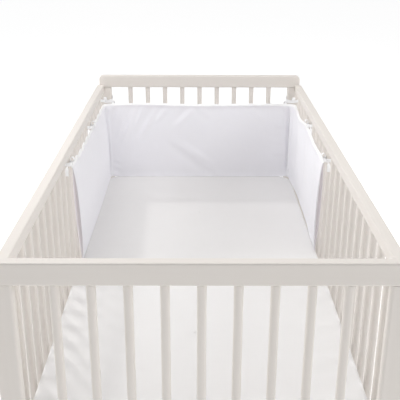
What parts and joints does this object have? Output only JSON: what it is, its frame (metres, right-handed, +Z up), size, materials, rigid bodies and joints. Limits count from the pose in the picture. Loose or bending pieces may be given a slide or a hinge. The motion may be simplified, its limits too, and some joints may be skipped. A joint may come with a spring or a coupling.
{
  "type": "crib bumper with the slatted crib and mattress that it fits",
  "caption": "Padded cotton crib bumper tied round the head end of a slatted timber crib, standing on the mattress along the head and half of each side.",
  "frame": {"origin": "on the floor under the middle of the crib", "axes": "+Y from the foot end to the head end, +X to the right of someone standing at the foot end, +Z up"},
  "size_m": [0.758, 1.458, 0.85],
  "materials": {
    "painted_wood": "satin warm white paint on timber",
    "bumper_cotton": "plain woven white cotton, matt",
    "mattress_sheet": "plain woven off-white fitted sheet, matt",
    "tie_tape": "white cotton tape, matt",
    "base_board": "plain pale timber board"
  },
  "bodies": {
    "root": {"bumper": "bumper_cotton", "foot_bottom_rail": "painted_wood", "foot_ledger": "base_board", "foot_post_left": "painted_wood", "foot_post_right": "painted_wood", "foot_slat_1": "painted_wood", "foot_slat_2": "painted_wood", "foot_slat_3": "painted_wood", "foot_slat_4": "painted_wood", "foot_slat_5": "painted_wood", "foot_slat_6": "painted_wood", "foot_slat_7": "painted_wood", "foot_slat_8": "painted_wood", "foot_slat_9": "painted_wood", "foot_top_rail": "painted_wood", "head_bottom_rail": "painted_wood", "head_ledger": "base_board", "head_post_left": "painted_wood", "head_post_right": "painted_wood", "head_slat_1": "painted_wood", "head_slat_2": "painted_wood", "head_slat_3": "painted_wood", "head_slat_4": "painted_wood", "head_slat_5": "painted_wood", "head_slat_6": "painted_wood", "head_slat_7": "painted_wood", "head_slat_8": "painted_wood", "head_slat_9": "painted_wood", "head_top_rail": "painted_wood", "mattress": "mattress_sheet", "mattress_base": "base_board", "side_slats_left": "painted_wood", "side_slats_right": "painted_wood", "side_top_rail_left": "painted_wood", "side_top_rail_right": "painted_wood", "tie_left_corner": "tie_tape", "tie_left_end": "tie_tape", "tie_left_middle": "tie_tape", "tie_right_corner": "tie_tape", "tie_right_end": "tie_tape", "tie_right_middle": "tie_tape"}
  },
  "joints": []
}
